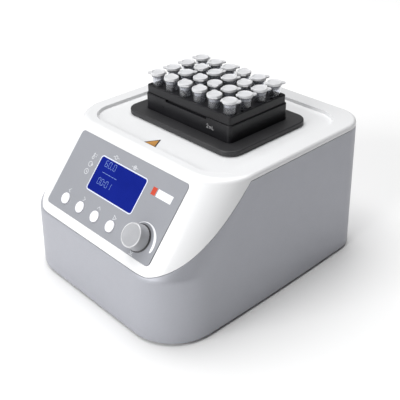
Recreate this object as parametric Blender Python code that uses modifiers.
"""Orbital dry block heater: a heated tube block on a shaking platform, in a desktop housing.

Metres, +Z up. The origin is on the floor, under the middle of the object. The control face looks towards -Y.
"""

import math

import bmesh
import bpy
from mathutils import Matrix, Vector

# ---- clearances
TOUCH = 0.0003                 # gap between pieces that touch
SEAM = 0.0004                  # visible gap between the cover and the housing
RUNNING = 0.0002               # radial gap of a shaft in its bore
BEYOND = 0.010                 # how far a cutter runs past what it cuts

# ---- enclosure
DECK_Z = 0.129
HALF_WIDTH = 0.1005            # at the deck
FRONT_Y = -0.1217              # front wall, at the foot of the sloped face
BACK_Y = 0.1187                # back wall, at the deck
BASE_Z = 0.003                 # lower edge of the housing
SIDE_DRAFT = 0.0021            # how much wider each side is at the base than at the deck
SIDE_BOW = 0.0021              # how far each side bulges at the base
FRONT_DRAFT = 0.00265
BACK_DRAFT = 0.0015
SLOPE_FOOT_Z = 0.0608          # where the sloped face meets the front wall
SLOPE_ANGLE = math.radians(49.4)
FRONT_CORNER_BASE = 0.042
FRONT_CORNER_DECK = 0.036
BACK_CORNER = 0.027
CREASE_RADIUS = 0.008          # between the front wall and the sloped face
BROW_RADIUS = 0.010            # between the sloped face and the deck
EDGE_RADIUS = 0.003            # round the deck's edge
CORNER_STEPS = 8               # flats round each upright corner
WALL = 0.003
DECK_THICKNESS = 0.004         # outside the recess
SEAM_RISE = 0.0014             # seam at the front, above the foot of the sloped face
SEAM_PULL = (0.503, 0.294)     # control point of the seam's curve, as shares of its span
COVER_EDGE = 0.0046            # height of the cover's edge above the seam along the sides

# ---- deck
RECESS_SIDE_MARGIN = 0.0143
RECESS_FRONT_MARGIN = 0.0097   # from the top of the sloped face
RECESS_BACK_MARGIN = 0.0168
RECESS_DEPTH = 0.0028
RECESS_CORNER = 0.024

# ---- control face: x from the middle, s down the slope from the panel's upper edge
PANEL_TOP_MARGIN = 0.0059      # from the panel's upper edge to the deck, in height
PANEL_HALF_WIDTH = 0.0699
PANEL_LENGTH = 0.0712
PANEL_CORNER = 0.0035
PANEL_THICKNESS = 0.0012
PANEL_POCKET = 0.0010
WINDOW_X = -0.0018
WINDOW_S = 0.0277
WINDOW_HALF_WIDTH = 0.0302
WINDOW_HALF_LENGTH = 0.0155
WINDOW_CORNER = 0.0022
WINDOW_LEDGE = 0.0015
BUTTON_X = (-0.0489, -0.0278, -0.0067, 0.0144)
BUTTON_S = 0.0603
BUTTON_RADIUS = 0.0050
BUTTON_PROUD = 0.0014
BUTTON_FLANGE = 0.0013
BUTTON_LIP = 0.0012            # how far the flange reaches behind the cover
BUTTON_TRAVEL = 0.0008
BUTTON_STEM = 0.0021
KNOB_X = 0.0489
KNOB_S = 0.0554
KNOB_BASE_RADIUS = 0.0110
KNOB_CAP_RADIUS = 0.0102
KNOB_HEIGHT = 0.0098
KNOB_LIFT = 0.0011             # gap under the knob's skirt
KNOB_DISH = 0.0005             # how far the cap's middle is sunk
KNOB_RIM = 0.0008              # width of the rim round it
KNOB_ROOF = 0.0022             # plastic above the bore
KNOB_EASE = 0.0004
SHAFT_RADIUS = 0.0030
BUSHING_RADIUS = 0.0044
ENCODER_HALF = 0.006
ENCODER_BORE = 0.003           # depth of the shaft's hole in the encoder's body
BUSHING_PROUD = 0.0004
BOARD_THICKNESS = 0.0016
BOARD_GAP = 0.0020             # between the display module and the board
MODULE_EDGE = (0.0035, 0.0025)  # how far the display module reaches beyond the window
BOARD_HALF_WIDTH = 0.066
BOARD_LENGTH = 0.070
DISPLAY_THICKNESS = 0.0045
SWITCH_HALF = 0.0031
SWITCH_HEIGHT = 0.0028

# ---- tube block and tray
GRID_Y = 0.0268                # middle of the tube grid, and of everything under it
PITCH = 0.018
COLUMNS = 6
ROWS = 4
WELL_CLEARANCE = 0.0004        # round a tube
BLOCK_MARGIN_X = 0.0087        # block's edge beyond the outer wells' axes
BLOCK_MARGIN_Y = 0.0089
BLOCK_CORNER = 0.0035
BLOCK_STEP = 0.0012            # how far the upper plate is set in
BLOCK_RISE = 0.0247            # block's top above the deck
BLOCK_TOP_THICKNESS = 0.0075
NOTCH_HALF_WIDTH = 0.026
NOTCH_DEPTH = 0.0022
NOTCH_HEIGHT = 0.0016
BLOCK_SCREW_RADIUS = 0.0014
BLOCK_SCREW_MARGIN = 0.0052    # screw's axis beyond the outer wells' axes
TRAY_MARGIN_X = 0.0143         # tray's edge beyond the block
TRAY_MARGIN_Y = 0.0138
TRAY_CORNER = 0.0130
TRAY_THICKNESS = 0.0044
TRAY_FLOAT = 0.0006            # gap between the tray and the recess's floor
SKIRT_WALL = 0.0022

# ---- tubes
TUBE_RISE = 0.0116             # cap's top above the block
TUBE_LENGTH = 0.0418
TUBE_RADIUS = 0.0054
TUBE_TIP_RADIUS = 0.0022
CAP_OVERHANG = 0.0012          # cap's edge beyond the tube
CAP_HEIGHT = 0.0030
CAP_CONE = 0.0009              # height of the cone under the cap
TUBE_CONE = 0.0046             # height of the cone at the tip
TUBE_TAPER = 0.0003
TAB_DROP = 0.0006              # tab's upper face below the cap's
TAB_CLEARANCE = 0.0002         # left between two tabs that face each other
TAB_HALF_WIDTH = 0.0020
TAB_THICKNESS = 0.0012
TUBE_SIDES = 10
TAB_TURNS = (                  # where each cap's tab points, in degrees from +X, front row first
    (227, 137, 142, 133, 137, 27),
    (227, 52, 140, 318, 41, 50),
    (225, 130, 60, 44, 140, 38),
    (219, 50, 46, 130, 60, 47),
)

# ---- orbiting drive
ORBIT = 0.0015                 # eccentricity: the platform runs round a circle of 3 mm
PLATE_DROP = 0.026             # drive plate below the platform
PLATE_THICKNESS = 0.003
PLATE_MARGIN = 0.0075          # plate's edge beyond the motor
PLATE_RIGHT_MARGIN = 0.0165    # plate's edge beyond the idlers' webs
PLATE_SIDE_MARGIN = 0.0095
POST_RADIUS = 0.004
POST_MARGIN = 0.003            # post's side to the plate's edge
PLATE_CORNER = 0.005
IDLER_BOSS_RADIUS = 0.008
IDLER_BOSS_LENGTH = 0.010
MOTOR_OPENING = 0.002          # plate's hole beyond the motor's shaft
MAIN_JOURNAL = 0.006
BEARING_RADIUS = 0.013
BEARING_LENGTH = 0.020
PULLEY_LIFT = 0.002            # pulley above the plate
PULLEY_HEIGHT = 0.010
PULLEY_RADIUS = 0.0275
PULLEY_FLANGE = 0.0018
PULLEY_RIM = 0.0025            # flange's edge beyond the belt's face
MOTOR_PULLEY_RADIUS = 0.011
BELT_WIDTH = 0.006
BELT_THICKNESS = 0.0014
COUNTERWEIGHT_HEIGHT = 0.0045
COUNTERWEIGHT_RADIUS = 0.029
COUNTERWEIGHT_HUB = 0.010
PIN_RADIUS = 0.004
MOTOR_DISTANCE = 0.060
MOTOR_RADIUS = 0.021
MOTOR_LENGTH = 0.042
MOTOR_SHAFT = 0.0025
MOTOR_BORE = 0.012
IDLER_X = 0.0465
IDLER_SPREAD = 0.030
IDLER_JOURNAL = 0.004
IDLER_PIN = 0.003
IDLER_WEB_RADIUS = 0.0085
IDLER_WEB_HEIGHT = 0.006
PLATFORM_DROP = 0.025          # platform below the deck
PLATFORM_THICKNESS = 0.005
PLATFORM_MARGIN = 0.0045       # platform's edge beyond the tray's skirt
HUB_RADIUS = 0.009
HUB_HEIGHT = 0.0024
INSULATION_THICKNESS = 0.003
HEATER_THICKNESS = 0.005
SENSOR_RADIUS = 0.0015
SENSOR_LENGTH = 0.030
SENSOR_X = 0.020

# ---- base, feet and power
BASE_PLATE_THICKNESS = 0.002
FOOT_RADIUS = 0.009
FOOT_HEIGHT = 0.004
FOOT_STEM = 0.003
FOOT_BULB = 0.0012             # how far the stem's bulb reaches past its hole
FOOT_BULB_HEIGHT = 0.003
FOOT_TAPER = 0.001
FOOT_SIDE_MARGIN = 0.0225
FOOT_FRONT_MARGIN = 0.0297
FOOT_BACK_MARGIN = 0.0267
BOSS_RADIUS = 0.005
COVER_BOSS_RADIUS = 0.004
BOSS_RIB_LENGTH = 0.031        # height of the rib that ties a housing boss to the wall
BOSS_RIB_THICKNESS = 0.002
BOSS_RIB_DROP = 0.004          # rib's top below the boss's
BOSS_PLATE_GAP = 0.0032        # from a boss to the drive plate, in front and behind
BOSS_DROP = 0.034              # where the cover's bosses meet the housing's, below the deck
INLET_X = -0.045
INLET_Z = 0.035
INLET_HALF_WIDTH = 0.028
INLET_HALF_HEIGHT = 0.014
INLET_DEPTH = 0.024
INLET_FLANGE = 0.0030
INLET_FLANGE_THICKNESS = 0.0018
SOCKET_HALF_WIDTH = 0.0120
SOCKET_HALF_HEIGHT = 0.0080
SOCKET_DEPTH = 0.0165
SOCKET_X = -0.0115             # from the inlet's middle
PRONG_LENGTH = 0.010
PRONG_HALF = (0.001, 0.002)
PRONG_SPREAD = 0.007
PRONG_LINE = 0.002             # outer prongs' line below the inlet's middle
PRONG_EARTH = 0.003            # middle prong above it
ROCKER_X = 0.0165              # from the inlet's middle
ROCKER_HALF_WIDTH = 0.0065
ROCKER_HALF_HEIGHT = 0.0095
ROCKER_DEPTH = 0.010
ROCKER_AXIS_DEPTH = 0.0022     # below the inlet's face
ROCKER_SWING = 0.0006          # gap that lets the rocker's ends swing
ROCKER_ROOT = 0.003            # rocker's underside below its axis
ROCKER_FLARE = 0.0016
ROCKER_TILT = math.radians(8)
SUPPLY_HALF = (0.050, 0.028, 0.017)
SUPPLY_MARGIN = 0.0487         # from the front wall

# ---- values worked out from those above
SLOPE_RUN = 1 / math.tan(SLOPE_ANGLE)          # y travelled per metre of rise
DOWN = Vector((0, -math.cos(SLOPE_ANGLE), -math.sin(SLOPE_ANGLE)))
OUTWARD = Vector((0, -math.sin(SLOPE_ANGLE), math.cos(SLOPE_ANGLE)))
PANEL_TOP_Z = DECK_Z - PANEL_TOP_MARGIN
PANEL_TOP = Vector((0, FRONT_Y + (PANEL_TOP_Z - SLOPE_FOOT_Z) * SLOPE_RUN, PANEL_TOP_Z))
SLOPE_TOP_Y = FRONT_Y + (DECK_Z - SLOPE_FOOT_Z) * SLOPE_RUN
RECESS_HALF_WIDTH = HALF_WIDTH - RECESS_SIDE_MARGIN
RECESS_FRONT_Y = SLOPE_TOP_Y + RECESS_FRONT_MARGIN
RECESS_BACK_Y = BACK_Y - RECESS_BACK_MARGIN
BLOCK_TOP_Z = DECK_Z + BLOCK_RISE
BLOCK_SPLIT_Z = BLOCK_TOP_Z - BLOCK_TOP_THICKNESS
TUBE_TOP_Z = BLOCK_TOP_Z + TUBE_RISE
WELL_RADIUS = TUBE_RADIUS + WELL_CLEARANCE
CAP_RADIUS = TUBE_RADIUS + CAP_OVERHANG
TAB_REACH = PITCH / 2 - TAB_CLEARANCE
PLATFORM_Z = DECK_Z - PLATFORM_DROP
PLATE_Z = PLATFORM_Z - PLATE_DROP
PULLEY_Z = PLATE_Z + PLATE_THICKNESS + PULLEY_LIFT
BOSS_SPLIT_Z = DECK_Z - BOSS_DROP
BLOCK_HALF_X = PITCH * (COLUMNS - 1) / 2 + BLOCK_MARGIN_X
BLOCK_HALF_Y = PITCH * (ROWS - 1) / 2 + BLOCK_MARGIN_Y
SKIRT_INNER_X = BLOCK_HALF_X + 2 * TOUCH
SKIRT_INNER_Y = BLOCK_HALF_Y + 2 * TOUCH
SKIRT_OUTER_X = SKIRT_INNER_X + SKIRT_WALL
SKIRT_OUTER_Y = SKIRT_INNER_Y + SKIRT_WALL
TRAY_HALF_X = BLOCK_HALF_X + TRAY_MARGIN_X
TRAY_HALF_Y = BLOCK_HALF_Y + TRAY_MARGIN_Y
DECK_OPENING_X = SKIRT_OUTER_X + 2 * ORBIT + 5 * TOUCH
DECK_OPENING_Y = SKIRT_OUTER_Y + 2 * ORBIT + 5 * TOUCH
TRAY_Z = DECK_Z - RECESS_DEPTH + TRAY_FLOAT
BASE_PLATE_Z = FOOT_HEIGHT + TOUCH
PLATFORM_TOP_Z = PLATFORM_Z + PLATFORM_THICKNESS
INSULATION_Z = PLATFORM_TOP_Z + TOUCH
HEATER_Z = INSULATION_Z + INSULATION_THICKNESS + TOUCH
BLOCK_Z = HEATER_Z + HEATER_THICKNESS + TOUCH
MAIN_AXIS = Vector((-ORBIT, GRID_Y, 0))
MOTOR_AXIS = Vector((-ORBIT - MOTOR_DISTANCE, GRID_Y, 0))
IDLER_AXES = [Vector((IDLER_X - ORBIT, GRID_Y + side * IDLER_SPREAD, 0)) for side in (-1, 1)]
PLATE_LEFT_X = MOTOR_AXIS.x - MOTOR_RADIUS - PLATE_MARGIN
PLATE_RIGHT_X = IDLER_AXES[0].x + IDLER_WEB_RADIUS + PLATE_RIGHT_MARGIN
PLATE_HALF_LENGTH = IDLER_SPREAD + IDLER_WEB_RADIUS + PLATE_SIDE_MARGIN
COUNTERWEIGHT_Z = PULLEY_Z + PULLEY_HEIGHT + TOUCH
SEAM_FRONT_Z = SLOPE_FOOT_Z + SEAM_RISE
SEAM_SIDE_Z = DECK_Z - COVER_EDGE
BOARD_FACE = -(WALL + TOUCH + DISPLAY_THICKNESS + BOARD_GAP)
BOARD_S = (PANEL_LENGTH - BOARD_LENGTH) / 2
BACK_FACE_Y = BACK_Y + BACK_DRAFT
INLET_FACE = TOUCH + INLET_FLANGE_THICKNESS    # outward of the back face
ROCKER_AXIS = INLET_FACE - ROCKER_AXIS_DEPTH   # likewise

PARTS = None
CUTTERS = None


# ---- scene, materials and objects

def start_scene():
    """Clears the scene and makes the two collections."""
    global PARTS, CUTTERS
    for obj in list(bpy.data.objects):
        bpy.data.objects.remove(obj, do_unlink=True)
    PARTS = bpy.data.collections.new("dry_block_heater")
    CUTTERS = bpy.data.collections.new("cutters")
    bpy.context.scene.collection.children.link(PARTS)
    bpy.context.scene.collection.children.link(CUTTERS)


def material(name, colour, roughness, metallic=0.0):
    mat = bpy.data.materials.new(name)
    mat.use_nodes = True
    shader = mat.node_tree.nodes["Principled BSDF"]
    shader.inputs["Base Color"].default_value = (*colour, 1)
    shader.inputs["Roughness"].default_value = roughness
    shader.inputs["Metallic"].default_value = metallic
    mat.diffuse_color = (*colour, 1)
    return mat


def add_part(name, mesh, mat, matrix=None):
    """A visible sub-part. The matrix places it in the world."""
    obj = bpy.data.objects.new(name, mesh)
    PARTS.objects.link(obj)
    if not mesh.materials:
        mesh.materials.append(mat)
    if matrix is not None:
        obj.matrix_world = matrix
    return obj


def add_cutter(name, mesh, matrix=None):
    """A helper for Booleans, which is never part of the model."""
    obj = bpy.data.objects.new(name, mesh)
    CUTTERS.objects.link(obj)
    obj.hide_render = True
    obj.display_type = "WIRE"
    if matrix is not None:
        obj.matrix_world = matrix
    return obj


def boolean(obj, other, operation="DIFFERENCE"):
    modifier = obj.modifiers.new(operation.lower(), "BOOLEAN")
    modifier.operation = operation
    modifier.object = other
    modifier.solver = "EXACT"


def parent_to_axis(name, point, objects):
    """Hangs the objects of a moving body on an empty that stands on the body's axis."""
    empty = bpy.data.objects.new(name, None)
    PARTS.objects.link(empty)
    empty.empty_display_size = 0.01
    empty.location = point
    bpy.context.view_layer.update()
    for obj in objects:
        world = obj.matrix_world.copy()
        obj.parent = empty
        obj.matrix_parent_inverse = empty.matrix_world.inverted()
        obj.matrix_world = world
    return empty


# ---- meshes

def mesh_from(bm, name):
    bmesh.ops.recalc_face_normals(bm, faces=bm.faces)
    mesh = bpy.data.meshes.new(name)
    bm.to_mesh(mesh)
    bm.free()
    return mesh


def smooth(mesh, angle=35):
    mesh.shade_smooth()
    mesh.set_sharp_from_angle(angle=math.radians(angle))
    return mesh


def box_mesh(name, low, high, corner=0.0, segments=4):
    """A box between two corners; corner rounds its four upright edges."""
    bm = bmesh.new()
    bmesh.ops.create_cube(bm, size=1.0)
    low, high = Vector(low), Vector(high)
    bmesh.ops.scale(bm, vec=high - low, verts=bm.verts)
    bmesh.ops.translate(bm, vec=(low + high) / 2, verts=bm.verts)
    if corner > 0:
        upright = [e for e in bm.edges if abs(e.verts[0].co.z - e.verts[1].co.z) > 1e-6]
        bmesh.ops.bevel(bm, geom=upright, offset=corner, segments=segments, profile=0.5, affect="EDGES")
    return mesh_from(bm, name)


def cylinders_mesh(name, places, radius, low, high, sides=16):
    """One or more upright cylinders of one size, as one mesh."""
    bm = bmesh.new()
    for x, y in places:
        bmesh.ops.create_cone(
            bm, cap_ends=True, segments=sides, radius1=radius, radius2=radius, depth=high - low,
            matrix=Matrix.Translation((x, y, (low + high) / 2)),
        )
    return mesh_from(bm, name)


def turned_mesh(name, profile, steps):
    """A solid of revolution about Z. The profile is (radius, z), from the top down its outer side."""
    bm = bmesh.new()
    points = [bm.verts.new((radius, 0, z)) for radius, z in profile]
    for first, second in zip(points, points[1:]):
        bm.edges.new((first, second))
    mesh = bpy.data.meshes.new(name + "_profile")
    bm.to_mesh(mesh)
    bm.free()
    obj = bpy.data.objects.new(name + "_profile", mesh)
    CUTTERS.objects.link(obj)
    screw = obj.modifiers.new("turn", "SCREW")
    screw.steps = steps
    screw.render_steps = steps
    screw.use_merge_vertices = True
    screw.merge_threshold = 0.00001
    return evaluated_mesh(obj, name)


def evaluated_mesh(obj, name):
    """The object's mesh after its modifiers, welded; the object itself is removed."""
    bpy.context.view_layer.update()
    mesh = bpy.data.meshes.new_from_object(obj.evaluated_get(bpy.context.evaluated_depsgraph_get()))
    mesh.transform(obj.matrix_world)
    mesh.name = name
    bpy.data.objects.remove(obj, do_unlink=True)
    bm = bmesh.new()
    bm.from_mesh(mesh)
    bmesh.ops.remove_doubles(bm, verts=bm.verts, dist=0.000002)
    bmesh.ops.recalc_face_normals(bm, faces=bm.faces)
    bm.to_mesh(mesh)
    bm.free()
    return mesh


def sheet_mesh(name, outlines, low, high):
    """Flat outlines in X and Y, the later ones holes in the first, as a solid from low to high in Z."""
    curve = bpy.data.curves.new(name + "_outline", "CURVE")
    curve.dimensions = "2D"
    curve.fill_mode = "BOTH"
    curve.extrude = (high - low) / 2
    for outline in outlines:
        spline = curve.splines.new("POLY")
        spline.points.add(len(outline) - 1)
        for point, (x, y) in zip(spline.points, outline):
            point.co = (x, y, 0, 1)
        spline.use_cyclic_u = True
    obj = bpy.data.objects.new(name + "_outline", curve)
    CUTTERS.objects.link(obj)
    obj.location.z = (low + high) / 2
    return evaluated_mesh(obj, name)


def rounded_outline(half_x, half_y, radius, centre=(0, 0), segments=5):
    """A rectangle with round corners, counter-clockwise."""
    points = []
    for quarter, (sx, sy) in enumerate(((1, 1), (-1, 1), (-1, -1), (1, -1))):
        for step in range(segments + 1):
            angle = math.pi / 2 * (quarter + step / segments)
            points.append((
                centre[0] + sx * (half_x - radius) + radius * math.cos(angle),
                centre[1] + sy * (half_y - radius) + radius * math.sin(angle),
            ))
    return points


def circle_outline(radius, centre=(0, 0), sides=16):
    turns = [2 * math.pi * i / sides for i in range(sides)]
    return [(centre[0] + radius * math.cos(t), centre[1] + radius * math.sin(t)) for t in turns]


def side_profile_matrix():
    """Turns a sheet drawn in (y, z) so that it stands upright, with its thickness along X."""
    return Matrix(((0, 0, 1, 0), (1, 0, 0, 0), (0, 1, 0, 0), (0, 0, 0, 1)))


def panel_matrix(x=0.0, s=0.0, t=0.0):
    """A frame on the sloped face: local X across, local Y up the slope, local Z outward."""
    place = PANEL_TOP + Vector((x, 0, 0)) + DOWN * s + OUTWARD * t
    across = Vector((1, 0, 0))
    return Matrix.Translation(place) @ Matrix((across, -DOWN, OUTWARD)).transposed().to_4x4()


def back_matrix(x, z):
    """A frame on the back face: local X across, local Y up, local Z out of the back (+Y)."""
    turn = Matrix(((-1, 0, 0), (0, 0, 1), (0, 1, 0))).to_4x4()
    return Matrix.Translation((x, BACK_FACE_Y, z)) @ turn


# ---- enclosure

def clamp(value):
    return min(max(value, 0.0), 1.0)


def arc_between(corner, first, second, radius, steps):
    """Points of a fillet of a corner whose two sides run towards first and second."""
    a, b = (Vector(first) - Vector(corner)).normalized(), (Vector(second) - Vector(corner)).normalized()
    half = a.angle(b) / 2
    reach = radius / math.tan(half)
    middle = Vector(corner) + (a + b).normalized() * radius / math.sin(half)
    start, end = Vector(corner) + a * reach - middle, Vector(corner) + b * reach - middle
    sweep = start.angle_signed(end)
    return [middle + Matrix.Rotation(-sweep * i / steps, 2) @ start for i in range(steps + 1)]


def front_profile(inset):
    """(y, z) up the middle of the front: wall, crease, sloped face, brow. Inset moves it inwards."""
    top = DECK_Z - (DECK_THICKNESS if inset else 0)
    along = inset / math.sin(SLOPE_ANGLE)
    lean = FRONT_DRAFT / (SLOPE_FOOT_Z - BASE_Z)

    def wall_y(z):
        return FRONT_Y + inset - lean * (SLOPE_FOOT_Z - z)

    def slope_y(z):
        return FRONT_Y + along + (z - SLOPE_FOOT_Z) * SLOPE_RUN

    foot_z = SLOPE_FOOT_Z + (inset - along) / (SLOPE_RUN - lean)
    base_z = BASE_Z if not inset else BASE_Z - 0.004
    base, foot = (wall_y(base_z), base_z), (wall_y(foot_z), foot_z)
    brow, deck = (slope_y(top), top), (slope_y(top) + 0.05, top)
    crease = arc_between(foot, base, brow, max(CREASE_RADIUS - inset, 0.002), 3)
    bend = arc_between(brow, foot, deck, max(BROW_RADIUS - inset, 0.002), 5)
    return [Vector(base), *crease, *bend]


def section(y_front, z, inset):
    """The enclosure's outline at one height, counter-clockwise from the front."""
    rise = clamp((z - BASE_Z) / (DECK_Z - BASE_Z))
    up_slope = clamp((z - SLOPE_FOOT_Z) / (DECK_Z - SLOPE_FOOT_Z))
    top = DECK_Z - (DECK_THICKNESS if inset else 0)
    edge = max(EDGE_RADIUS - inset, 0.0005)
    into = max(z - (top - edge), 0.0)
    tuck = edge - math.sqrt(max(edge * edge - into * into, 0.0))
    half_x = HALF_WIDTH + SIDE_DRAFT * (1 - rise) - inset - tuck
    back = BACK_Y + BACK_DRAFT * (1 - rise) - inset - tuck
    front_r = FRONT_CORNER_BASE + (FRONT_CORNER_DECK - FRONT_CORNER_BASE) * up_slope - inset - tuck
    back_r = BACK_CORNER - inset - tuck
    points = []

    def corner(cx, cy, radius, start):
        for step in range(CORNER_STEPS + 1):
            angle = math.radians(start + 90 * step / CORNER_STEPS)
            points.append((cx + radius * math.cos(angle), cy + radius * math.sin(angle)))

    def side(x, y0, y1):
        for step in range(1, 4):
            points.append((x, y0 + (y1 - y0) * step / 4))

    corner(half_x - front_r, y_front + front_r, front_r, -90)
    side(half_x, y_front + front_r, back - back_r)
    corner(half_x - back_r, back - back_r, back_r, 0)
    corner(-half_x + back_r, back - back_r, back_r, 90)
    side(-half_x, back - back_r, y_front + front_r)
    corner(-half_x + front_r, y_front + front_r, front_r, 180)
    middle, half_y = (BACK_Y + FRONT_Y) / 2, (BACK_Y - FRONT_Y) / 2
    bow = SIDE_BOW * (1 - rise)
    return [(x + bow * x / half_x * clamp(1 - ((y - middle) / half_y) ** 2), y, z) for x, y in points]


def loft_mesh(name, outlines):
    """A closed solid through outlines that have the same number of points."""
    bm = bmesh.new()
    rings = [[bm.verts.new(point) for point in outline] for outline in outlines]
    for lower, upper in zip(rings, rings[1:]):
        for i in range(len(lower)):
            j = (i + 1) % len(lower)
            bm.faces.new((lower[i], lower[j], upper[j], upper[i]))
    bm.faces.new(rings[0])
    bm.faces.new(rings[-1])
    return mesh_from(bm, name)


def enclosure_mesh(name, inset):
    return loft_mesh(name, [section(y, z, inset) for y, z in front_profile(inset)])


def seam_curve(offset):
    """(y, z) of the seam seen from the side: level at the front, rising in one long curve to the side."""
    start = Vector((FRONT_Y + 0.4 * CREASE_RADIUS, SEAM_FRONT_Z))
    slope_end_y = FRONT_Y + (SEAM_SIDE_Z - SLOPE_FOOT_Z) * SLOPE_RUN
    end = Vector((slope_end_y + 0.95 * FRONT_CORNER_DECK, SEAM_SIDE_Z))
    pull = Vector(a + share * (b - a) for a, b, share in zip(start, end, SEAM_PULL))
    points = [Vector((FRONT_Y - 0.02, SEAM_FRONT_Z))]
    for step in range(11):
        u = step / 10
        points.append(start * (1 - u) ** 2 + pull * 2 * u * (1 - u) + end * u * u)
    points.append(Vector((BACK_Y + 0.02, SEAM_SIDE_Z)))
    return [(y, z + offset) for y, z in points]


def seam_cutter(name, above):
    """A block that holds everything above the seam, or below it."""
    line = seam_curve(-SEAM / 2 if above else SEAM / 2)
    far = DECK_Z + 0.02 if above else BASE_Z - 0.02
    outline = line + [(line[-1][0], far), (line[0][0], far)]
    half = HALF_WIDTH + 0.02
    mesh = sheet_mesh(name, [outline], -half, half)
    mesh.transform(side_profile_matrix())
    return add_cutter(name, mesh)


def boss_places():
    x = HALF_WIDTH - WALL - 2 * TOUCH - COVER_BOSS_RADIUS
    y = PLATE_HALF_LENGTH + BOSS_RADIUS + BOSS_PLATE_GAP
    return [(side * x, GRID_Y + end * y) for side in (-1, 1) for end in (-1, 1)]


def make_lower_housing(mat):
    obj = add_part("lower_housing", smooth(enclosure_mesh("lower_housing", 0)), mat)
    boolean(obj, add_cutter("housing_inside", enclosure_mesh("housing_inside", WALL)))
    boolean(obj, seam_cutter("above_seam", True))
    low = BASE_PLATE_Z + BASE_PLATE_THICKNESS + TOUCH
    bosses = cylinders_mesh("housing_bosses", boss_places(), BOSS_RADIUS, low, BOSS_SPLIT_Z - TOUCH, 12)
    boolean(obj, add_cutter("housing_bosses", bosses), "UNION")
    for number, (x, y) in enumerate(boss_places(), 1):
        wall_x = math.copysign(HALF_WIDTH - TOUCH, x)
        rib = box_mesh(
            f"boss_rib_{number}",
            (min(x, wall_x), y - BOSS_RIB_THICKNESS / 2, BOSS_SPLIT_Z - BOSS_RIB_DROP - BOSS_RIB_LENGTH),
            (max(x, wall_x), y + BOSS_RIB_THICKNESS / 2, BOSS_SPLIT_Z - BOSS_RIB_DROP),
        )
        boolean(obj, add_cutter(f"boss_rib_{number}", rib), "UNION")
    hole = box_mesh(
        "inlet_hole",
        (-INLET_HALF_WIDTH - TOUCH, -INLET_HALF_HEIGHT - TOUCH, -BEYOND),
        (INLET_HALF_WIDTH + TOUCH, INLET_HALF_HEIGHT + TOUCH, BEYOND),
    )
    boolean(obj, add_cutter("inlet_hole", hole, back_matrix(INLET_X, INLET_Z)))


def make_top_cover(mat):
    obj = add_part("top_cover", smooth(enclosure_mesh("top_cover", 0)), mat)
    boolean(obj, add_cutter("cover_inside", enclosure_mesh("cover_inside", WALL)))
    boolean(obj, seam_cutter("below_seam", False))
    middle_y, half_y = (RECESS_BACK_Y + RECESS_FRONT_Y) / 2, (RECESS_BACK_Y - RECESS_FRONT_Y) / 2
    under = sheet_mesh(
        "recess_floor", [rounded_outline(RECESS_HALF_WIDTH + WALL, half_y + WALL, RECESS_CORNER + WALL)],
        -RECESS_DEPTH - WALL, -DECK_THICKNESS / 2,
    )
    boolean(obj, add_cutter("recess_floor", under, Matrix.Translation((0, middle_y, DECK_Z))), "UNION")
    recess = sheet_mesh(
        "deck_recess", [rounded_outline(RECESS_HALF_WIDTH, half_y, RECESS_CORNER)], -RECESS_DEPTH, BEYOND
    )
    boolean(obj, add_cutter("deck_recess", recess, Matrix.Translation((0, middle_y, DECK_Z))))
    opening = sheet_mesh(
        "deck_opening", [rounded_outline(DECK_OPENING_X, DECK_OPENING_Y, BLOCK_CORNER * 2)], -BEYOND, BEYOND
    )
    boolean(obj, add_cutter("deck_opening", opening, Matrix.Translation((0, GRID_Y, DECK_Z))))
    bosses = cylinders_mesh(
        "cover_bosses", boss_places(), COVER_BOSS_RADIUS, BOSS_SPLIT_Z,
        DECK_Z - (RECESS_DEPTH + DECK_THICKNESS) / 2, 12,
    )
    boolean(obj, add_cutter("cover_bosses", bosses), "UNION")
    pocket = sheet_mesh(
        "panel_pocket",
        [rounded_outline(PANEL_HALF_WIDTH + TOUCH, PANEL_LENGTH / 2 + TOUCH, PANEL_CORNER)],
        -PANEL_POCKET, BEYOND,
    )
    boolean(obj, add_cutter("panel_pocket", pocket, panel_matrix(s=PANEL_LENGTH / 2)))
    window = sheet_mesh(
        "window_hole",
        [rounded_outline(WINDOW_HALF_WIDTH - WINDOW_LEDGE, WINDOW_HALF_LENGTH - WINDOW_LEDGE, WINDOW_CORNER)],
        -BEYOND, BEYOND,
    )
    boolean(obj, add_cutter("window_hole", window, panel_matrix(WINDOW_X, WINDOW_S)))
    holes = cylinders_mesh(
        "button_holes", [(x, 0) for x in BUTTON_X], BUTTON_RADIUS + TOUCH, -BEYOND, BEYOND, 16
    )
    boolean(obj, add_cutter("button_holes", holes, panel_matrix(s=BUTTON_S)))
    hole = cylinders_mesh("knob_hole", [(0, 0)], BUSHING_RADIUS + TOUCH, -BEYOND, BEYOND)
    boolean(obj, add_cutter("knob_hole", hole, panel_matrix(KNOB_X, KNOB_S)))


# ---- control face

def make_panel(mat):
    centre_s = PANEL_LENGTH / 2
    outlines = [rounded_outline(PANEL_HALF_WIDTH, PANEL_LENGTH / 2, PANEL_CORNER)]
    outlines.append(rounded_outline(
        WINDOW_HALF_WIDTH + TOUCH, WINDOW_HALF_LENGTH + TOUCH, WINDOW_CORNER + TOUCH,
        (WINDOW_X, centre_s - WINDOW_S),
    ))
    for x in BUTTON_X:
        outlines.append(circle_outline(BUTTON_RADIUS + TOUCH, (x, centre_s - BUTTON_S), 16))
    outlines.append(circle_outline(BUSHING_RADIUS + TOUCH, (KNOB_X, centre_s - KNOB_S)))
    floor = -PANEL_POCKET + TOUCH
    mesh = sheet_mesh("panel_overlay", outlines, floor, floor + PANEL_THICKNESS)
    add_part("panel_overlay", mesh, mat, panel_matrix(s=centre_s))


def make_window(mat):
    outline = rounded_outline(WINDOW_HALF_WIDTH, WINDOW_HALF_LENGTH, WINDOW_CORNER)
    floor = -PANEL_POCKET + TOUCH
    mesh = sheet_mesh("display_window", [outline], floor, floor + PANEL_THICKNESS - TOUCH)
    add_part("display_window", mesh, mat, panel_matrix(WINDOW_X, WINDOW_S))


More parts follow.
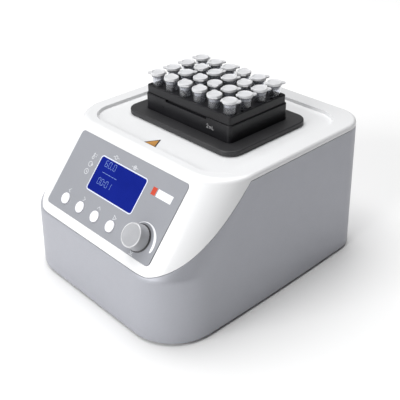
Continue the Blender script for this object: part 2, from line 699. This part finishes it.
def make_display_module(mat):
    half_x, half_y = WINDOW_HALF_WIDTH + MODULE_EDGE[0], WINDOW_HALF_LENGTH + MODULE_EDGE[1]
    top = -WALL - TOUCH
    mesh = box_mesh("display_module", (-half_x, -half_y, top - DISPLAY_THICKNESS), (half_x, half_y, top))
    add_part("display_module", mesh, mat, panel_matrix(WINDOW_X, WINDOW_S))


def make_control_board(mat):
    """Circuit board with a tactile switch behind each button and the encoder behind the knob."""
    half = BOARD_LENGTH / 2
    centre_s = BOARD_S + half
    face = BOARD_FACE
    mesh = box_mesh(
        "control_board", (-BOARD_HALF_WIDTH, -half, face - BOARD_THICKNESS), (BOARD_HALF_WIDTH, half, face)
    )
    obj = add_part("control_board", mesh, mat, panel_matrix(s=centre_s))
    sunk = face - BOARD_THICKNESS / 2
    for number, x in enumerate(BUTTON_X, 1):
        name = f"tactile_switch_{number}"
        switch = box_mesh(
            name, (-SWITCH_HALF, -SWITCH_HALF, sunk), (SWITCH_HALF, SWITCH_HALF, face + SWITCH_HEIGHT)
        )
        boolean(obj, add_cutter(name, switch, panel_matrix(x, BUTTON_S)), "UNION")
    place = panel_matrix(KNOB_X, KNOB_S)
    body_top = -WALL - 2 * TOUCH
    body = box_mesh(
        "encoder_body", (-ENCODER_HALF, -ENCODER_HALF, sunk), (ENCODER_HALF, ENCODER_HALF, body_top)
    )
    boolean(obj, add_cutter("encoder_body", body, place), "UNION")
    bushing = cylinders_mesh("encoder_bushing", [(0, 0)], BUSHING_RADIUS, body_top - TOUCH, BUSHING_PROUD)
    boolean(obj, add_cutter("encoder_bushing", bushing, place), "UNION")
    bore = cylinders_mesh("encoder_bore", [(0, 0)], SHAFT_RADIUS + RUNNING, body_top - ENCODER_BORE, BEYOND)
    boolean(obj, add_cutter("encoder_bore", bore, place))


def make_buttons(mat):
    """Each button: a disc in the cover's hole, a flange behind the cover and a stem on its switch."""
    top = BUTTON_PROUD
    under = -WALL - TOUCH
    stem_end = BOARD_FACE + SWITCH_HEIGHT + BUTTON_TRAVEL + TOUCH
    profile = [
        (0, top), (BUTTON_RADIUS, top), (BUTTON_RADIUS, under),
        (BUTTON_RADIUS + BUTTON_LIP, under), (BUTTON_RADIUS + BUTTON_LIP, under - BUTTON_FLANGE),
        (BUTTON_STEM, under - BUTTON_FLANGE), (BUTTON_STEM, stem_end), (0, stem_end),
    ]
    mesh = smooth(turned_mesh("button", profile, 16))
    for number, x in enumerate(BUTTON_X, 1):
        add_part(f"button_{number}", mesh, mat, panel_matrix(x, BUTTON_S))


def make_knob(knob_mat, shaft_mat):
    low, high = KNOB_LIFT, KNOB_LIFT + KNOB_HEIGHT
    bore = SHAFT_RADIUS + TOUCH
    rim = KNOB_CAP_RADIUS - KNOB_EASE
    profile = [
        (0, high - KNOB_DISH), (rim - KNOB_RIM - KNOB_EASE, high - KNOB_DISH), (rim - KNOB_RIM, high),
        (rim, high), (KNOB_CAP_RADIUS, high - KNOB_EASE), (KNOB_BASE_RADIUS, low),
        (bore, low), (bore, high - KNOB_ROOF), (0, high - KNOB_ROOF),
    ]
    knob = add_part("knob", smooth(turned_mesh("knob", profile, 24)), knob_mat, panel_matrix(KNOB_X, KNOB_S))
    bottom = -WALL - ENCODER_BORE - TOUCH
    stem = cylinders_mesh("encoder_shaft", [(0, 0)], SHAFT_RADIUS, bottom, high - KNOB_ROOF - TOUCH)
    shaft = add_part("encoder_shaft", stem, shaft_mat, panel_matrix(KNOB_X, KNOB_S))
    parent_to_axis("knob_axis", PANEL_TOP + Vector((KNOB_X, 0, 0)) + DOWN * KNOB_S, [knob, shaft])


# ---- tube block, tray and platform

def well_places():
    columns = [(i - (COLUMNS - 1) / 2) * PITCH for i in range(COLUMNS)]
    rows = [(j - (ROWS - 1) / 2) * PITCH for j in range(ROWS)]
    return [(x, GRID_Y + y) for y in rows for x in columns]


def make_tube_block(mat):
    top = BLOCK_SPLIT_Z - TOUCH / 2
    mesh = box_mesh(
        "tube_block", (-BLOCK_HALF_X, GRID_Y - BLOCK_HALF_Y, BLOCK_Z),
        (BLOCK_HALF_X, GRID_Y + BLOCK_HALF_Y, top), BLOCK_CORNER,
    )
    obj = add_part("tube_block", mesh, mat)
    well_floor = TUBE_TOP_Z - TUBE_LENGTH - TOUCH
    wells = cylinders_mesh("wells", well_places(), WELL_RADIUS, well_floor, top + BEYOND, TUBE_SIDES)
    boolean(obj, add_cutter("wells", wells))
    front = GRID_Y - BLOCK_HALF_Y
    notch = box_mesh(
        "finger_notch", (-NOTCH_HALF_WIDTH, front - BEYOND, top - NOTCH_HEIGHT),
        (NOTCH_HALF_WIDTH, front + NOTCH_DEPTH, top + BEYOND),
    )
    boolean(obj, add_cutter("finger_notch", notch))


def make_block_top(mat):
    half_x, half_y = BLOCK_HALF_X - BLOCK_STEP, BLOCK_HALF_Y - BLOCK_STEP
    outlines = [rounded_outline(half_x, half_y, BLOCK_CORNER - BLOCK_STEP, (0, GRID_Y), 4)]
    outlines += [circle_outline(WELL_RADIUS, place, TUBE_SIDES) for place in well_places()]
    screw_x = PITCH * (COLUMNS - 1) / 2 + BLOCK_SCREW_MARGIN
    for x in (-screw_x, screw_x):
        for y in (-PITCH, PITCH):
            outlines.append(circle_outline(BLOCK_SCREW_RADIUS, (x, GRID_Y + y), 6))
    add_part("block_top", sheet_mesh("block_top", outlines, BLOCK_SPLIT_Z + TOUCH / 2, BLOCK_TOP_Z), mat)


def tube_mesh():
    """A capped tube standing on its tip at the origin, with its cap's tab towards +X."""
    top = TUBE_LENGTH
    neck = top - CAP_HEIGHT
    profile = [
        (0, top), (CAP_RADIUS, top), (CAP_RADIUS, neck), (TUBE_RADIUS, neck - CAP_CONE),
        (TUBE_RADIUS - TUBE_TAPER, TUBE_CONE), (TUBE_TIP_RADIUS, 0), (0, 0),
    ]
    body = add_cutter("tube_body", turned_mesh("tube_body", profile, TUBE_SIDES))
    tab_top = top - TAB_DROP
    tab = box_mesh(
        "tube_tab", (0, -TAB_HALF_WIDTH, tab_top - TAB_THICKNESS), (TAB_REACH, TAB_HALF_WIDTH, tab_top)
    )
    boolean(body, add_cutter("tube_tab", tab), "UNION")
    return smooth(evaluated_mesh(body, "tube"))


def make_tubes(mat):
    mesh = tube_mesh()
    turns = [math.radians(turn) for row in TAB_TURNS for turn in row]
    for number, ((x, y), turn) in enumerate(zip(well_places(), turns), 1):
        place = Matrix.Translation((x, y, TUBE_TOP_Z - TUBE_LENGTH)) @ Matrix.Rotation(turn, 4, "Z")
        add_part(f"tube_{number:02d}", mesh, mat, place)


def make_tray(mat):
    """Black surround of the block: a flat collar over the deck, with a skirt down to the platform."""
    inner = rounded_outline(SKIRT_INNER_X, SKIRT_INNER_Y, BLOCK_CORNER, (0, GRID_Y), 4)
    collar = rounded_outline(TRAY_HALF_X, TRAY_HALF_Y, TRAY_CORNER, (0, GRID_Y), 6)
    obj = add_part("tray", sheet_mesh("tray", [collar, inner], TRAY_Z, TRAY_Z + TRAY_THICKNESS), mat)
    outer = rounded_outline(SKIRT_OUTER_X, SKIRT_OUTER_Y, BLOCK_CORNER + SKIRT_WALL, (0, GRID_Y), 4)
    skirt = sheet_mesh("skirt", [outer, inner], INSULATION_Z, TRAY_Z + TRAY_THICKNESS / 2)
    boolean(obj, add_cutter("skirt", skirt), "UNION")
    return obj


def make_platform_stack(aluminium, foam, heater, steel):
    half_x, half_y = SKIRT_OUTER_X + PLATFORM_MARGIN, SKIRT_OUTER_Y + PLATFORM_MARGIN
    pin_hole = PIN_RADIUS + RUNNING
    idler_hole = IDLER_PIN + 2 * RUNNING
    idlers = [(axis.x + ORBIT, axis.y) for axis in IDLER_AXES]
    outlines = [rounded_outline(half_x, half_y, BLOCK_CORNER, (0, GRID_Y), 3)]
    outlines.append(circle_outline(pin_hole, (0, GRID_Y)))
    outlines += [circle_outline(idler_hole, place) for place in idlers]
    platform = add_part("platform", sheet_mesh("platform", outlines, PLATFORM_Z, PLATFORM_TOP_Z), aluminium)
    hub = sheet_mesh(
        "hub", [circle_outline(HUB_RADIUS, (0, GRID_Y)), circle_outline(pin_hole, (0, GRID_Y))],
        PLATFORM_Z - HUB_HEIGHT, PLATFORM_Z + PLATFORM_THICKNESS / 2,
    )
    boolean(platform, add_cutter("hub", hub), "UNION")

    inside_x, inside_y = SKIRT_INNER_X - TOUCH, SKIRT_INNER_Y - TOUCH
    low, high = (-inside_x, GRID_Y - inside_y), (inside_x, GRID_Y + inside_y)
    insulation = add_part("insulation", box_mesh(
        "insulation", (*low, INSULATION_Z), (*high, INSULATION_Z + INSULATION_THICKNESS), BLOCK_CORNER, 3
    ), foam)
    plate = add_part("heater_plate", box_mesh(
        "heater_plate", (*low, HEATER_Z), (*high, HEATER_Z + HEATER_THICKNESS), BLOCK_CORNER, 3
    ), heater)
    bore = cylinders_mesh("sensor_bore", [(0, 0)], SENSOR_RADIUS + TOUCH, -BEYOND, SENSOR_LENGTH + TOUCH, 10)
    into_front = Matrix.Translation((SENSOR_X, low[1], HEATER_Z + HEATER_THICKNESS / 2))
    into_front @= Matrix.Rotation(-math.pi / 2, 4, "X")
    boolean(plate, add_cutter("sensor_bore", bore, into_front))
    sensor = add_part("temperature_sensor", cylinders_mesh(
        "temperature_sensor", [(0, 0)], SENSOR_RADIUS, TOUCH, SENSOR_LENGTH, 10
    ), steel, into_front)
    return [platform, insulation, plate, sensor]


# ---- orbiting drive

def make_drive_plate(mat):
    """Steel plate on four posts, with a bearing boss under it for the shaft and one for each idler."""
    middle_x, half_x = (PLATE_LEFT_X + PLATE_RIGHT_X) / 2, (PLATE_RIGHT_X - PLATE_LEFT_X) / 2
    top = PLATE_Z + PLATE_THICKNESS
    main_hole, idler_hole = MAIN_JOURNAL + RUNNING, IDLER_JOURNAL + RUNNING
    main = (MAIN_AXIS.x, MAIN_AXIS.y)
    motor = (MOTOR_AXIS.x, MOTOR_AXIS.y)
    idlers = [(axis.x, axis.y) for axis in IDLER_AXES]
    outlines = [rounded_outline(half_x, PLATE_HALF_LENGTH, PLATE_CORNER, (middle_x, GRID_Y), 3)]
    outlines += [circle_outline(main_hole, main), circle_outline(MOTOR_SHAFT + MOTOR_OPENING, motor, 12)]
    outlines += [circle_outline(idler_hole, place) for place in idlers]
    obj = add_part("drive_plate", sheet_mesh("drive_plate", outlines, PLATE_Z, top), mat)
    bosses = [("main_boss", main, BEARING_RADIUS, main_hole, BEARING_LENGTH)]
    for number, place in enumerate(idlers, 1):
        bosses.append((f"idler_boss_{number}", place, IDLER_BOSS_RADIUS, idler_hole, IDLER_BOSS_LENGTH))
    for name, place, outer, inner, length in bosses:
        outlines = [circle_outline(outer, place, 20), circle_outline(inner, place)]
        ring = sheet_mesh(name, outlines, PLATE_Z - length, PLATE_Z + PLATE_THICKNESS / 2)
        boolean(obj, add_cutter(name, ring), "UNION")
    foot_z = BASE_PLATE_Z + BASE_PLATE_THICKNESS + TOUCH
    inset = POST_RADIUS + POST_MARGIN
    corners = [
        (x, GRID_Y + y) for x in (PLATE_LEFT_X + inset, PLATE_RIGHT_X - inset)
        for y in (-PLATE_HALF_LENGTH + inset, PLATE_HALF_LENGTH - inset)
    ]
    posts = cylinders_mesh("plate_posts", corners, POST_RADIUS, foot_z, PLATE_Z + PLATE_THICKNESS / 2, 10)
    boolean(obj, add_cutter("plate_posts", posts), "UNION")


def pulley_profile(radius, bore):
    """A flat-faced pulley with a flange above and below the belt."""
    low, high = PULLEY_Z, PULLEY_Z + PULLEY_HEIGHT
    rim = radius + PULLEY_RIM
    return [
        (bore, high), (rim, high), (rim, high - PULLEY_FLANGE), (radius, high - PULLEY_FLANGE),
        (radius, low + PULLEY_FLANGE), (rim, low + PULLEY_FLANGE), (rim, low), (bore, low), (bore, high),
    ]


def make_shaft_body(steel, plastic, iron):
    x, y = MAIN_AXIS.x, MAIN_AXIS.y
    pin_base = COUNTERWEIGHT_Z + COUNTERWEIGHT_HEIGHT + 3 * TOUCH
    journal = cylinders_mesh(
        "eccentric_shaft", [(x, y)], MAIN_JOURNAL, PLATE_Z - BEARING_LENGTH, pin_base + 0.0015
    )
    shaft = add_part("eccentric_shaft", smooth(journal), steel)
    pin = cylinders_mesh("eccentric_pin", [(0, GRID_Y)], PIN_RADIUS, pin_base, PLATFORM_TOP_Z - TOUCH)
    boolean(shaft, add_cutter("eccentric_pin", pin), "UNION")
    on_axis = Matrix.Translation((x, y, 0))
    bore = MAIN_JOURNAL + TOUCH
    pulley = add_part(
        "drive_pulley", smooth(turned_mesh("drive_pulley", pulley_profile(PULLEY_RADIUS, bore), 24)),
        plastic, on_axis,
    )
    steps = 14
    arc = [math.pi / 2 + math.pi * i / steps for i in range(steps + 1)]
    outline = [(COUNTERWEIGHT_RADIUS * math.cos(a), COUNTERWEIGHT_RADIUS * math.sin(a)) for a in arc]
    outline += [(COUNTERWEIGHT_HUB, -COUNTERWEIGHT_HUB), (COUNTERWEIGHT_HUB, COUNTERWEIGHT_HUB)]
    mesh = sheet_mesh(
        "counterweight", [outline, circle_outline(bore)],
        COUNTERWEIGHT_Z, COUNTERWEIGHT_Z + COUNTERWEIGHT_HEIGHT,
    )
    weight = add_part("counterweight", mesh, iron, on_axis)
    parent_to_axis("shaft_axis", MAIN_AXIS, [shaft, pulley, weight])


def make_motor(body_mat, pulley_mat):
    on_axis = Matrix.Translation((MOTOR_AXIS.x, MOTOR_AXIS.y, 0))
    high = PLATE_Z - TOUCH
    low = high - MOTOR_LENGTH
    bore, floor = MOTOR_SHAFT + RUNNING, high - MOTOR_BORE
    profile = [(0, high), (MOTOR_RADIUS, high), (MOTOR_RADIUS, low), (0, low)]
    can = add_part("motor", smooth(turned_mesh("motor", profile, 20)), body_mat, on_axis)
    hole = cylinders_mesh("motor_bore", [(0, 0)], bore, floor, high + BEYOND, 12)
    boolean(can, add_cutter("motor_bore", hole, on_axis))
    rim = pulley_profile(MOTOR_PULLEY_RADIUS, 0)[:-1]
    mesh = turned_mesh("motor_pulley", rim, 16)
    pulley = add_part("motor_pulley", smooth(mesh), pulley_mat, on_axis)
    stem_top = PULLEY_Z + PULLEY_HEIGHT / 2
    stem = cylinders_mesh("motor_shaft", [(0, 0)], MOTOR_SHAFT, floor + TOUCH, stem_top, 12)
    boolean(pulley, add_cutter("motor_shaft", stem, on_axis), "UNION")
    parent_to_axis("motor_axis", MOTOR_AXIS, [pulley])


def belt_outline(offset):
    """Round both pulleys, at a distance from their faces."""
    big, small = PULLEY_RADIUS + offset, MOTOR_PULLEY_RADIUS + offset
    lean = math.acos((big - small) / MOTOR_DISTANCE)
    points = []
    for axis, radius, start, end in (
        (MAIN_AXIS, big, -(math.pi - lean), math.pi - lean),
        (MOTOR_AXIS, small, math.pi - lean, math.pi + lean),
    ):
        for step in range(13):
            angle = start + (end - start) * step / 12
            points.append((axis.x + radius * math.cos(angle), axis.y + radius * math.sin(angle)))
    return points


def make_belt(mat):
    low = PULLEY_Z + (PULLEY_HEIGHT - BELT_WIDTH) / 2
    inner = belt_outline(2 * TOUCH)
    outer = belt_outline(2 * TOUCH + BELT_THICKNESS)
    add_part("drive_belt", sheet_mesh("drive_belt", [outer, inner], low, low + BELT_WIDTH), mat)


def make_idlers(mat):
    """Cranks with the same throw as the shaft, which carry the platform's free side."""
    web_low = PLATE_Z + PLATE_THICKNESS + TOUCH
    web_high = web_low + IDLER_WEB_HEIGHT
    middle = (web_low + web_high) / 2
    for number, axis in enumerate(IDLER_AXES, 1):
        name = f"idler_crank_{number}"
        web = cylinders_mesh(name, [(axis.x, axis.y)], IDLER_WEB_RADIUS, web_low, web_high, 20)
        crank = add_part(name, smooth(web), mat)
        journal = cylinders_mesh(
            name + "_journal", [(axis.x, axis.y)], IDLER_JOURNAL, PLATE_Z - IDLER_BOSS_LENGTH, middle
        )
        boolean(crank, add_cutter(name + "_journal", journal), "UNION")
        pin = cylinders_mesh(
            name + "_pin", [(axis.x + ORBIT, axis.y)], IDLER_PIN, middle, PLATFORM_TOP_Z - TOUCH
        )
        boolean(crank, add_cutter(name + "_pin", pin), "UNION")
        parent_to_axis(f"idler_axis_{number}", axis, [crank])


# ---- base and power

def foot_places():
    half_x = HALF_WIDTH - FOOT_SIDE_MARGIN
    rows = (FRONT_Y + FOOT_FRONT_MARGIN, BACK_Y - FOOT_BACK_MARGIN)
    return [(x, y) for x in (-half_x, half_x) for y in rows]


def make_base_plate(mat):
    inset = WALL + TOUCH
    low, high = BASE_PLATE_Z, BASE_PLATE_Z + BASE_PLATE_THICKNESS
    wall_y = FRONT_Y - FRONT_DRAFT + inset
    outline = [(x, y) for x, y, _ in section(wall_y + TOUCH, low, inset + TOUCH)]
    holes = [circle_outline(FOOT_STEM + TOUCH, place, 12) for place in foot_places()]
    add_part("base_plate", sheet_mesh("base_plate", [outline, *holes], low, high), mat)


def make_feet(mat):
    """Push-in rubber feet: pad below the plate, stem through it, bulb above it."""
    above = BASE_PLATE_Z + BASE_PLATE_THICKNESS + TOUCH
    profile = [
        (0, above + FOOT_BULB_HEIGHT), (FOOT_STEM - FOOT_TAPER, above + FOOT_BULB_HEIGHT),
        (FOOT_STEM + FOOT_BULB, above), (FOOT_STEM, above), (FOOT_STEM, FOOT_HEIGHT),
        (FOOT_RADIUS, FOOT_HEIGHT), (FOOT_RADIUS - FOOT_TAPER, 0), (0, 0),
    ]
    mesh = smooth(turned_mesh("foot", profile, 12))
    for number, (x, y) in enumerate(foot_places(), 1):
        add_part(f"foot_{number}", mesh, mat, Matrix.Translation((x, y, 0)))


def make_power(inlet_mat, rocker_mat, supply_mat):
    """Mains module in the back wall: three-pin inlet on one side, rocker switch on the other."""
    place = back_matrix(INLET_X, INLET_Z)
    wide, tall = INLET_HALF_WIDTH + INLET_FLANGE, INLET_HALF_HEIGHT + INLET_FLANGE
    rim = rounded_outline(wide, tall, INLET_FLANGE, segments=3)
    flange = sheet_mesh("power_inlet", [rim], TOUCH, INLET_FACE)
    inlet = add_part("power_inlet", flange, inlet_mat, place)
    body = box_mesh(
        "inlet_body", (-INLET_HALF_WIDTH, -INLET_HALF_HEIGHT, -INLET_DEPTH),
        (INLET_HALF_WIDTH, INLET_HALF_HEIGHT, (TOUCH + INLET_FACE) / 2),
    )
    boolean(inlet, add_cutter("inlet_body", body, place), "UNION")
    floor = INLET_FACE - SOCKET_DEPTH
    socket = box_mesh(
        "inlet_socket", (SOCKET_X - SOCKET_HALF_WIDTH, -SOCKET_HALF_HEIGHT, floor),
        (SOCKET_X + SOCKET_HALF_WIDTH, SOCKET_HALF_HEIGHT, BEYOND),
    )
    boolean(inlet, add_cutter("inlet_socket", socket, place))
    clear_x, clear_y = ROCKER_HALF_WIDTH + TOUCH, ROCKER_HALF_HEIGHT + TOUCH
    well = box_mesh(
        "rocker_well", (ROCKER_X - clear_x, -clear_y, INLET_FACE - ROCKER_DEPTH),
        (ROCKER_X + clear_x, clear_y, BEYOND),
    )
    boolean(inlet, add_cutter("rocker_well", well, place))
    pins = ((-PRONG_SPREAD, -PRONG_LINE), (PRONG_SPREAD, -PRONG_LINE), (0, PRONG_EARTH))
    half_x, half_y = PRONG_HALF
    for number, (x, y) in enumerate(pins, 1):
        name = f"inlet_prong_{number}"
        x += SOCKET_X
        prong = box_mesh(
            name, (x - half_x, y - half_y, floor - half_x), (x + half_x, y + half_y, floor + PRONG_LENGTH)
        )
        boolean(inlet, add_cutter(name, prong, place), "UNION")

    rocker = make_rocker(rocker_mat, place)
    parent_to_axis("rocker_axis", place @ Vector((ROCKER_X, 0, ROCKER_AXIS)), [rocker])

    low_z = BASE_PLATE_Z + BASE_PLATE_THICKNESS + TOUCH
    half_x, half_y, half_z = SUPPLY_HALF
    front_y = FRONT_Y + SUPPLY_MARGIN
    supply = box_mesh(
        "power_supply", (-half_x, front_y, low_z), (half_x, front_y + 2 * half_y, low_z + 2 * half_z)
    )
    add_part("power_supply", supply, supply_mat)


def make_rocker(mat, place):
    """A rocker with two faces that meet in a shallow V, drawn from the side at mid-throw, then tipped."""
    half = ROCKER_HALF_HEIGHT - ROCKER_SWING
    rise = half * math.tan(ROCKER_TILT)
    top, root = INLET_FACE - TOUCH, ROCKER_AXIS - ROCKER_ROOT
    outline = [
        (-half, top + rise), (0, top), (half, top + rise),
        (half - ROCKER_FLARE, root), (ROCKER_FLARE - half, root),
    ]
    mesh = sheet_mesh("power_switch", [outline], -ROCKER_HALF_WIDTH, ROCKER_HALF_WIDTH)
    mesh.transform(side_profile_matrix())
    pivot = Matrix.Translation((ROCKER_X, 0, ROCKER_AXIS))
    mesh.transform(Matrix.Translation((0, 0, -ROCKER_AXIS)))
    return add_part("power_switch", mesh, mat, place @ pivot @ Matrix.Rotation(ROCKER_TILT, 4, "X"))


def main():
    start_scene()
    white = material("white_plastic", (0.86, 0.87, 0.88), 0.25)
    silver = material("silver_plastic", (0.50, 0.52, 0.55), 0.4)
    panel_grey = material("panel_grey", (0.42, 0.43, 0.46), 0.55)
    glass = material("window_blue", (0.02, 0.04, 0.32), 0.12)
    black = material("black_anodised", (0.018, 0.018, 0.020), 0.45)
    tray_black = material("black_plastic", (0.030, 0.030, 0.033), 0.4)
    knob_grey = material("knob_grey", (0.56, 0.57, 0.60), 0.3)
    tube_clear = material("tube_plastic", (0.82, 0.85, 0.89), 0.3)
    aluminium = material("aluminium", (0.75, 0.76, 0.78), 0.35, 1.0)
    steel = material("steel", (0.60, 0.61, 0.63), 0.3, 1.0)
    board = material("circuit_board", (0.02, 0.20, 0.09), 0.5)
    foam = material("insulation_foam", (0.70, 0.66, 0.55), 0.9)
    rubber = material("rubber", (0.02, 0.02, 0.02), 0.8)

    make_lower_housing(silver)
    make_top_cover(white)
    make_panel(panel_grey)
    make_window(glass)
    make_display_module(board)
    make_control_board(board)
    make_buttons(white)
    make_knob(knob_grey, steel)
    make_tube_block(black)
    make_block_top(black)
    make_tubes(tube_clear)
    tray = make_tray(tray_black)
    stack = make_platform_stack(aluminium, foam, aluminium, steel)
    parent_to_axis("platform_axis", (0, GRID_Y, 0), [tray, *stack])
    make_drive_plate(steel)
    make_shaft_body(steel, tray_black, steel)
    make_motor(steel, aluminium)
    make_belt(rubber)
    make_idlers(steel)
    make_base_plate(steel)
    make_feet(rubber)
    make_power(tray_black, tray_black, aluminium)


main()
